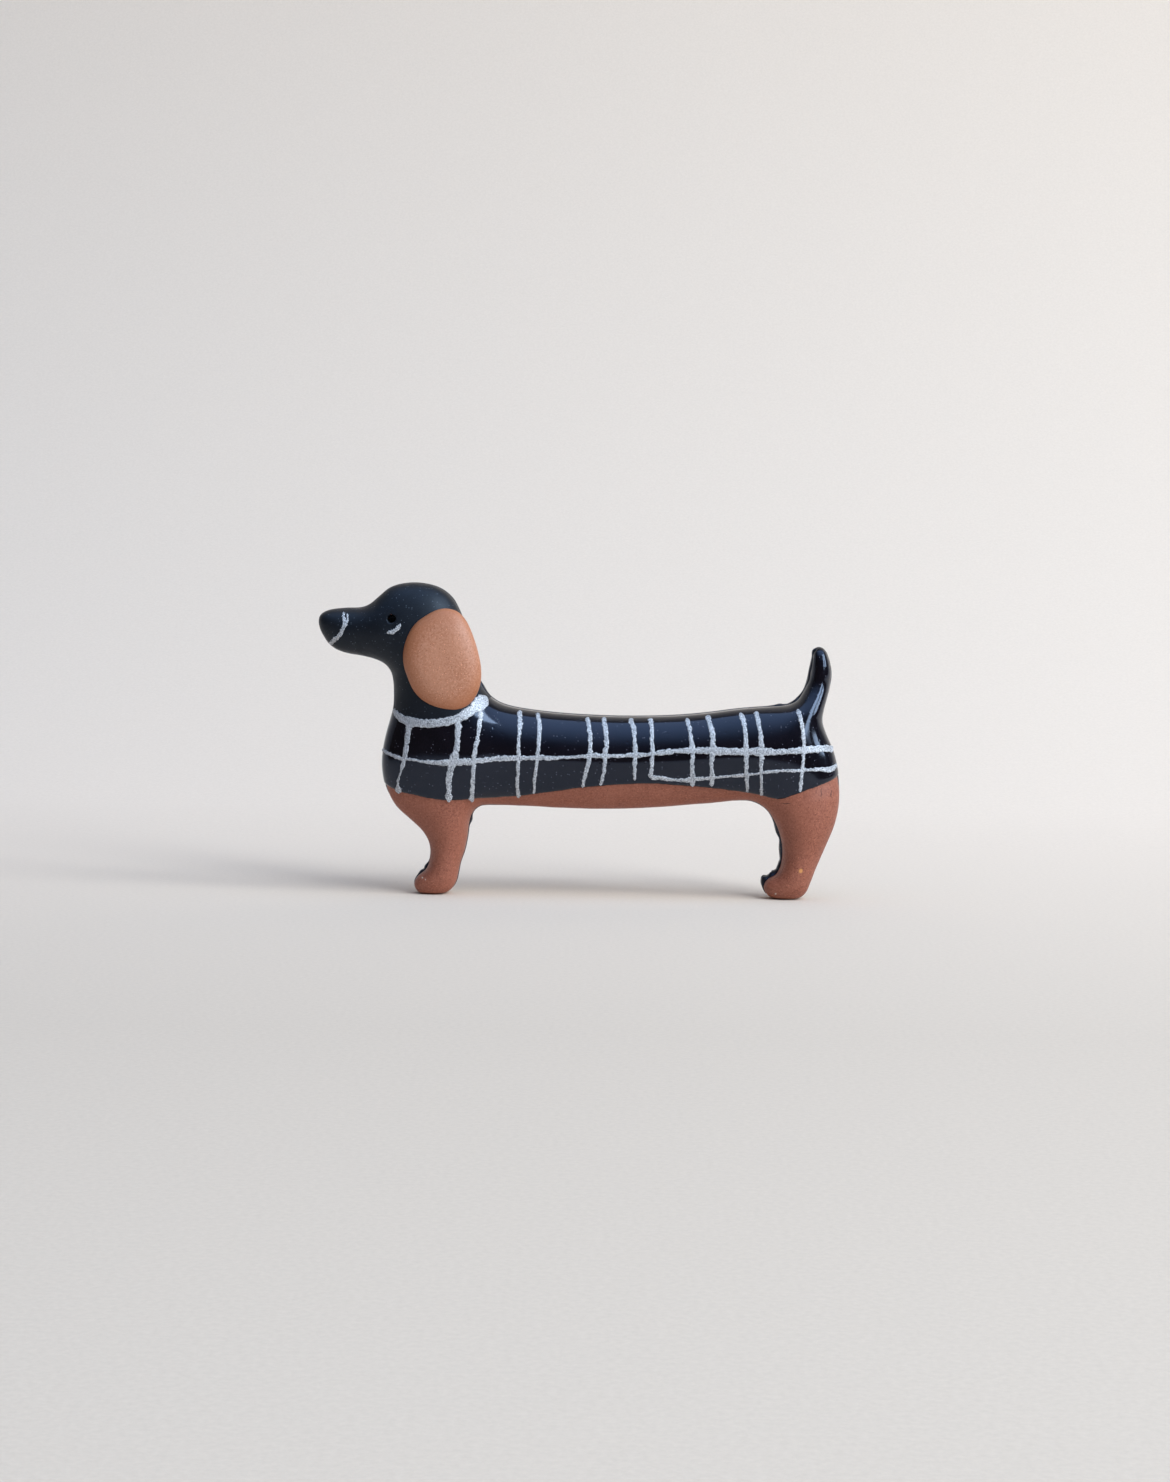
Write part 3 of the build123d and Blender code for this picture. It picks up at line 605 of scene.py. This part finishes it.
def steel_finish():
    """Nickel-plated steel, slightly uneven and with small dull marks."""
    steel = Finish("pin_steel", Metallic=1.0, Roughness=0.28)
    tone = steel.ramp(steel.noise(0.9, 4.0), [(0.3, (0.46, 0.45, 0.43)),
                                              (0.7, (0.60, 0.59, 0.57))])
    steel.connect(tone, "Base Color")
    steel.connect(steel.ramp(steel.noise(0.7, 4.0), [(0.3, 0.24), (0.7, 0.40)]), "Roughness")
    steel.connect(steel.bump(steel.noise(0.10, 2.0), 0.006, 0.4), "Normal")
    return steel.material


def adhesive_finish():
    """Cured epoxy, slightly yellow and cloudy."""
    glue = Finish("adhesive", Roughness=0.32, IOR=1.5)
    tone = glue.ramp(glue.noise(1.2, 4.0), [(0.3, (0.30, 0.27, 0.20)), (0.7, (0.46, 0.43, 0.34))])
    glue.connect(tone, "Base Color")
    glue.connect(glue.bump(glue.noise(0.8, 3.0), 0.05, 0.5), "Normal")
    return glue.material


# each oval is its centre and its half size in (x, z), and the marks also have a colour
CRUMB = (0.60, 0.50, 0.42)
MARKS = [((28.0, 3.9), (0.30, 0.34), (0.62, 0.27, 0.085)), ((-19.0, 2.2), (0.12, 0.10), CRUMB),
         ((-18.6, 2.0), (0.09, 0.09), CRUMB), ((25.0, 0.9), (0.14, 0.12), CRUMB)]
CRACKS = [((30.3, 13.8), (0.06, 0.85)), ((31.6, 13.7), (0.05, 0.65)), ((26.0, 12.5), (0.8, 0.06))]
STONEWARE = clay_finish("stoneware", (0.275, 0.081, 0.044), (0.195, 0.051, 0.026),
                        (0.360, 0.120, 0.070), MARKS, CRACKS)
EAR_RIM = ((-16.3, 29.3), (5.4, 6.6), (0.40, 0.130, 0.045))
TERRACOTTA = clay_finish("terracotta", (0.465, 0.195, 0.107), (0.385, 0.142, 0.068),
                         (0.545, 0.250, 0.152), rim=EAR_RIM)
BLACK_SLIP = slip_finish()
BLACK_GLAZE = glaze_finish("black_glaze", 0.10)
BACK_GLAZE = glaze_finish("back_glaze", 0.30)
SILVER = lustre_finish()
STEEL = steel_finish()
ADHESIVE = adhesive_finish()


# ---------------------------------------------------------------- the clay and its coats
OVERLAP = 0.5                                  # how far one coat runs under the next
WIPED_FOOT = 0.45                              # height of the sole that is left bare
EYE_DEPTH = 1.5
EYE_EDGE = (0.03, -0.12)                       # from the eye's radius, where its edge rolls in
LIP = 0.45                                     # width of the rounded lip at a coat's edge
TUCK = 0.09                                    # how far a coat dives into the clay past its lip
MARGIN = 0.25                                  # how far past its lip a coat's sheet reaches
SHEET = 0.14                                   # how far a sheet's inner face lies below its outer
COVERED = 0.02                                 # least depth of clay and sheets under a coat
GLAZE_PROUD, BACK_PROUD = 0.02, 0.06           # what the glossy and back coats add to the slip
HEM_FADE = (-2.2, 0.1)                         # above the hem, where the clay rises to full size
# how each wavers: amount, length
HEM_WAVER, RIM_WAVER, CLAY_WAVER, EAR_WAVER = (0.04, 1.3), (0.22, 0.9), (0.02, 2.4), (0.012, 3.0)
BEAD_WAVER = ((0.30, 0.55), (0.18, 0.28))


def collar_side(p):
    """Distance below the collar's edge; far behind the neck it is always below."""
    below = height_along(COLLAR_EDGE, p[:, 0]) - p[:, 2]
    return np.where(p[:, 0] > COLLAR_EDGE[-1][0], 5.0, below)


def hem_side(p):
    """Distance above the coat's hem, which wavers a little."""
    waver = HEM_WAVER[0] * wander(p[:, [0, 2]], HEM_WAVER[1], 3)
    return p[:, 2] - height_along(HEM, p[:, 0]) + waver


def rim_side(p):
    """Distance behind the ragged edge of the back coat."""
    return RIM - (BACK - p[:, 1]) + RIM_WAVER[0] * wander(p[:, [0, 2]], RIM_WAVER[1], 5)


def lip(side, thickness):
    """A coat's thickness: a rounded lip at its edge, full inside, below the clay outside."""
    t = np.clip(side / LIP, 0.0, 1.0)
    return np.where(side > 0, thickness * np.sqrt(t * (2 - t)), np.maximum(0.8 * side, -TUCK))


def eye_hole(p):
    """How far each point of the front is pushed in by the pierced eye."""
    away = np.hypot(p[:, 0] - EYE[0], p[:, 2] - EYE[1])
    start, end = (EYE_RADIUS + edge for edge in EYE_EDGE)
    depth = EYE_DEPTH * smoothstep(start, end, away)
    return np.where(p[:, 1] < BACK - WALL, depth, 0.0)


def bead(p):
    """How much thicker the back coat is where the glaze ran over the edge and beaded."""
    height = np.zeros(len(p))
    for x, z, reach, rise in BEADS:
        away = np.hypot(p[:, 0] - x, p[:, 2] - z)
        height = np.maximum(height, rise * np.exp(-(away / reach) ** 2))
    coarse, fine = (share * wander(p, length, seed)
                    for seed, (share, length) in enumerate(BEAD_WAVER, 31))
    return height * (1 + coarse + fine) * smoothstep(0.05, 0.6, BACK - p[:, 1])


def coat_piece(name, mesh, side, thickness, material, slot, node):
    """A coat over the part of the clay where side is positive, pierced by the eye."""
    verts, quads = mesh
    cropped, faces, used = crop(verts, quads, side > -MARGIN)
    cover = lip(side[used], thickness if np.isscalar(thickness) else thickness[used]) - SLIP
    outer = settle(cropped, cover)
    inner = settle(cropped, np.minimum(cover, -COVERED) - SHEET)
    pushed = eye_hole(cropped)
    outer[:, 1] += pushed
    inner[:, 1] += pushed
    add_piece(name, *thicken(outer, inner, faces), material, slot, node)


def make_clay():
    """The body: bare legs and belly, and the clay beneath the coats."""
    verts, quads = blank_mesh(CLAY_PITCH)
    offset = -SLIP * smoothstep(*HEM_FADE, hem_side(verts)) - COVERED
    offset = offset + CLAY_WAVER[0] * wander(verts, CLAY_WAVER[1], 11)
    body = settle(verts, offset)
    body[:, 1] += eye_hole(body)
    add_piece("red_clay_body", body, quads, STONEWARE, "stoneware", "stoneware_body")


def make_coats():
    """The matte slip, the glossy coat and the black back."""
    mesh = blank_mesh(COAT_PITCH)
    verts = mesh[0]
    below_collar = collar_side(verts)
    above_hem = hem_side(verts)
    behind = rim_side(verts)
    front = OVERLAP - behind
    head = np.minimum(0.5 * OVERLAP - below_collar, front)
    torso = np.minimum(np.minimum(below_collar + 0.5 * OVERLAP, above_hem), front)
    back = np.minimum(behind, verts[:, 2] - WIPED_FOOT)
    coat_piece("head_slip_coat", mesh, head, SLIP, BLACK_SLIP, "black_slip", "head_slip")
    coat_piece("glossy_coat", mesh, torso, SLIP + GLAZE_PROUD, BLACK_GLAZE, "black_glaze",
               "coat_glaze")
    coat_piece("black_back_coat", mesh, back, SLIP + BACK_PROUD + bead(verts), BACK_GLAZE,
               "back_glaze", "back_slip")


EAR_ROWS, EAR_COLUMNS = ((64, 160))


def make_ear():
    """A pressed pebble of clay: its outline, domed softly to both faces."""
    rows, columns = EAR_ROWS, EAR_COLUMNS
    path = smooth_path(EAR_OUTLINE, 0.05, closed=True) - np.array(EAR_CENTRE)
    turn = np.unwrap(np.arctan2(path[:, 1], path[:, 0]))
    away = np.hypot(path[:, 0], path[:, 1])
    order = np.argsort(turn)
    lon = turn.min() + np.arange(columns) * 2 * math.pi / columns
    reach = np.interp(lon, turn[order], away[order], period=2 * math.pi)
    low, high = (corner.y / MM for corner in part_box("ear"))
    middle, half = (low + high) / 2, (high - low) / 2
    lat = np.linspace(-math.pi / 2, math.pi / 2, rows + 1)[1:-1, None]
    ring = np.cos(lat) ** EAR_FLATNESS * reach
    x, z = ring * np.cos(lon), ring * np.sin(lon)
    y = np.broadcast_to(half * np.sin(lat), x.shape)
    verts = np.stack([x.ravel(), y.ravel(), z.ravel()], axis=1)
    verts = np.vstack([verts, [[0.0, -half, 0.0], [0.0, half, 0.0]]])
    verts += EAR_WAVER[0] * wander(verts, EAR_WAVER[1], 21)[:, None] * verts
    verts += np.array([EAR_CENTRE[0], middle, EAR_CENTRE[1]])
    faces = []
    for row in range(rows - 2):
        for column in range(columns):
            a = row * columns + column
            b = row * columns + (column + 1) % columns
            faces.append((a, b, b + columns, a + columns))
    last = (rows - 2) * columns
    front_pole, back_pole = len(verts) - 2, len(verts) - 1
    for column in range(columns):
        beside = (column + 1) % columns
        faces.append((column, front_pole, beside))
        faces.append((last + column, last + beside, back_pole))
    add_piece("pressed_clay_ear", verts, faces, TERRACOTTA, "terracotta", "ear")


# ---------------------------------------------------------------- the silver drawing
ACROSS = 13                                    # points across a stroke
STROKE_STEP = 0.05
FULLNESS = 0.54                                # half of a stroke over its drawn width
SWAY = (0.10, 0.7)                             # how a stroke's width varies: share, length
RAGGED = ((0.09, 0.45), (0.075, 0.13))         # how its edges waver: amount, length
GRAIN = (0.20, 0.17)                           # how its height varies: share, length
SUNK_EDGE, UNDERSIDE = 0.12, 0.16              # how far the edge and underside lie in the glaze


def ribbon(points, seed):
    """One ragged brush line, raised on the domed front: vertices and quads."""
    path = smooth_path(points, 0.02)
    surface = front_point(path[:, 0], path[:, 1], np.zeros(len(path)))
    run = np.concatenate([[0.0], np.cumsum(np.linalg.norm(np.diff(surface, axis=0), axis=1))])
    count = max(8, int(run[-1] / STROKE_STEP))
    s = np.linspace(0.0, run[-1], count)
    x, z, width = (np.interp(s, run, path[:, axis]) for axis in range(3))
    along = np.stack([np.gradient(x), np.gradient(z)], axis=1)
    along /= np.linalg.norm(along, axis=1)[:, None] + 1e-9
    ends = np.sqrt(np.clip(np.minimum(s, run[-1] - s) / (0.5 * width), 0.02, 1.0))
    half = FULLNESS * width * ends * (1 + SWAY[0] * wander(s, SWAY[1], seed))
    edges = []
    for own in (seed + 0.1, seed + 0.3):
        coarse, fine = (amount * wander(s, length, own + 0.05 * k)
                        for k, (amount, length) in enumerate(RAGGED))
        edges.append(half + ends * (coarse + fine))
    rows = []
    for t in np.linspace(-1.0, 1.0, ACROSS):
        reach = (edges[0] if t < 0 else edges[1]) * t
        px, pz = x - along[:, 1] * reach, z + along[:, 0] * reach
        grain = GRAIN[0] * wander(np.stack([px, pz], axis=1), GRAIN[1], seed)
        proud = LUSTRE * (1 - t ** 6) * (1 - GRAIN[0] + grain)
        rows.append(front_point(px, pz, proud if abs(t) < 1 else np.full(count, -SUNK_EDGE)))
    top = np.stack(rows, axis=1)
    flat = np.arange(count * ACROSS).reshape(count, ACROSS)
    quads = np.stack([flat[:-1, :-1], flat[1:, :-1], flat[1:, 1:], flat[:-1, 1:]], axis=-1)
    quads = quads.reshape(-1, 4)[:, ::-1]
    grid = top.reshape(-1, 3)
    under = front_point(grid[:, 0], grid[:, 2], np.full(len(grid), -UNDERSIDE))
    return thicken(grid, under, quads)


def make_strokes(name, strokes, node, seed):
    """All strokes of one kind as one piece."""
    verts, faces, start = [], [], 0
    for number, points in strokes.items():
        v, f = ribbon(points, seed + 3 * number)
        verts.append(v)
        faces.append(f + start)
        start += len(v)
    add_piece(name, np.vstack(verts), np.vstack(faces), SILVER, "silver_lustre", node)


# ---------------------------------------------------------------- stage, light and camera
# in metres
TARGET = Vector((0.00086, 0.0, 0.0193))
DISTANCE = 0.350
ELEVATION = math.radians(4.0)
ROLL = math.radians(0.96)
LENS = 68.0                                    # mm, on a sensor 36 mm wide
PAPER_REACH = 6.0                              # to the front and to either side
FLOOR = (-PAPER_REACH, -0.9, -0.3, 0.0, 0.06)  # y of the flat part, which then curves up
SWEEP_RADIUS, SWEEP_STEPS = 0.35, 16
PAPER_TOP, PAPER_COLUMNS = 2.0, 15
WINDOW = Vector((0.54, -0.36, 0.44))
BESIDE = Vector((0.38, 0.52, 0.0)).normalized()
PANE_OFFSET, PANE_SIZE, PANE_WATTS = 0.15, (0.24, 0.56), 3.8
DAYLIGHT = (0.80, 0.91, 1.0)
SKY = [(0.0, (0.044, 0.034, 0.026)), (0.46, (0.020, 0.020, 0.024)),
       (0.70, (0.165, 0.235, 0.340)), (1.0, (0.500, 0.680, 1.0))]
SKY_LEAN, SKY_STRENGTH = 0.16, 2.3             # the sky is brighter to the right


def make_stage():
    """Pale paper that runs back from the camera and sweeps up behind the dog, with painted shade
    in front of the dog and painted light behind it.
    """
    profile = [(y, 0.0) for y in FLOOR]
    for step in range(1, SWEEP_STEPS + 1):
        turn = math.radians(90) * step / SWEEP_STEPS
        profile.append((FLOOR[-1] + SWEEP_RADIUS * math.sin(turn),
                        SWEEP_RADIUS * (1 - math.cos(turn))))
    profile.append((FLOOR[-1] + SWEEP_RADIUS, PAPER_TOP))
    verts, faces = [], []
    xs = np.linspace(-PAPER_REACH, PAPER_REACH, PAPER_COLUMNS)
    for y, z in profile:
        verts += [(x, y, z) for x in xs]
    for row in range(len(profile) - 1):
        for column in range(len(xs) - 1):
            a = row * len(xs) + column
            faces.append((a, a + 1, a + 1 + len(xs), a + len(xs)))
    mesh = bpy.data.meshes.new("paper_sweep")
    mesh.from_pydata(verts, [], faces)
    mesh.shade_smooth()
    paper = Finish("paper", Roughness=0.9, IOR=1.4)
    grain = paper.noise(0.5, 3.0, 0.7)
    # painted shade and light: the paper in front of the dog is painted darker, and behind it and
    # up the sweep lighter, standing in for how the window lights the floor and the upright sweep
    near = paper.ramp(grain, [(0.3, (0.600, 0.492, 0.396)), (0.7, (0.650, 0.538, 0.436))])
    far = paper.ramp(grain, [(0.3, (0.800, 0.658, 0.535)), (0.7, (0.850, 0.706, 0.580))])
    tone = paper.mix(paper.ramp(paper.depth(), [(0.25, 0.0), (0.75, 1.0)]), near, far)
    paper.connect(tone, "Base Color")
    paper.connect(paper.bump(paper.noise(0.7, 3.0), 0.03, 0.3), "Normal")
    mesh.materials.append(paper.material)
    sweep = bpy.data.objects.new("paper_sweep", mesh)
    bpy.context.scene.collection.objects.link(sweep)


def make_window():
    """Two soft panes to the right, aimed at the dog."""
    for side in (-1, 1):
        name = f"window_pane_{side}"
        data = bpy.data.lights.new(name, "AREA")
        data.shape = "RECTANGLE"
        data.size, data.size_y = PANE_SIZE
        data.energy = PANE_WATTS
        data.color = DAYLIGHT
        light = bpy.data.objects.new(name, data)
        light.location = WINDOW + PANE_OFFSET * side * BESIDE
        light.rotation_euler = (TARGET - light.location).to_track_quat("-Z", "Y").to_euler()
        bpy.context.scene.collection.objects.link(light)


def make_room():
    """The room around the dog: dark ahead and blue above."""
    world = bpy.data.worlds.new("room")
    world.use_nodes = True
    nodes, links = world.node_tree.nodes, world.node_tree.links
    direction = nodes.new("ShaderNodeTexCoord").outputs["Generated"]
    split = nodes.new("ShaderNodeSeparateXYZ")
    links.new(direction, split.inputs["Vector"])
    sky = nodes.new("ShaderNodeValToRGB")
    sky.color_ramp.interpolation = "B_SPLINE"
    set_stops(sky.color_ramp, SKY)
    leaning = nodes.new("ShaderNodeMath")
    leaning.operation = "MULTIPLY_ADD"
    links.new(split.outputs["X"], leaning.inputs[0])
    leaning.inputs[1].default_value = SKY_LEAN
    links.new(split.outputs["Z"], leaning.inputs[2])
    links.new(leaning.outputs["Value"], sky.inputs["Fac"])
    links.new(sky.outputs["Color"], nodes["Background"].inputs["Color"])
    nodes["Background"].inputs["Strength"].default_value = SKY_STRENGTH
    bpy.context.scene.world = world


def make_camera():
    """In front of the dog and a little above it, turned as the photograph is."""
    data = bpy.data.cameras.new("camera")
    data.lens = LENS
    data.sensor_width = 36.0
    camera = bpy.data.objects.new("camera", data)
    away = Vector((0.0, -math.cos(ELEVATION), math.sin(ELEVATION)))
    camera.location = TARGET + DISTANCE * away
    turn = (-away).to_track_quat("-Z", "Y").to_matrix().to_4x4()
    camera.rotation_euler = (turn @ Matrix.Rotation(ROLL, 4, "Z")).to_euler()
    bpy.context.scene.collection.objects.link(camera)
    bpy.context.scene.camera = camera


make_camera()
make_clay()
make_coats()
make_ear()
make_strokes("plaid_upright_strokes", UPRIGHTS, "plaid_uprights", 100)
make_strokes("plaid_band_strokes", BANDS, "plaid_bands", 200)
make_strokes("collar_stroke", COLLAR, "collar_lustre", 300)
make_strokes("muzzle_stroke", MUZZLE, "muzzle_lustre", 400)
make_strokes("cheek_stroke", CHEEK, "cheek_lustre", 500)
for node_name, finish in (("pin_bar", STEEL), ("hinge_rivet", STEEL), ("pin_stem", STEEL),
                          ("catch_housing", STEEL), ("catch_rotor", STEEL),
                          ("adhesive_pad", ADHESIVE)):
    cad_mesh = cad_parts[node_name].data
    cad_mesh.materials.clear()
    cad_mesh.materials.append(finish)
make_stage()
make_window()
make_room()
bpy.context.scene.view_settings.view_transform = "Standard"
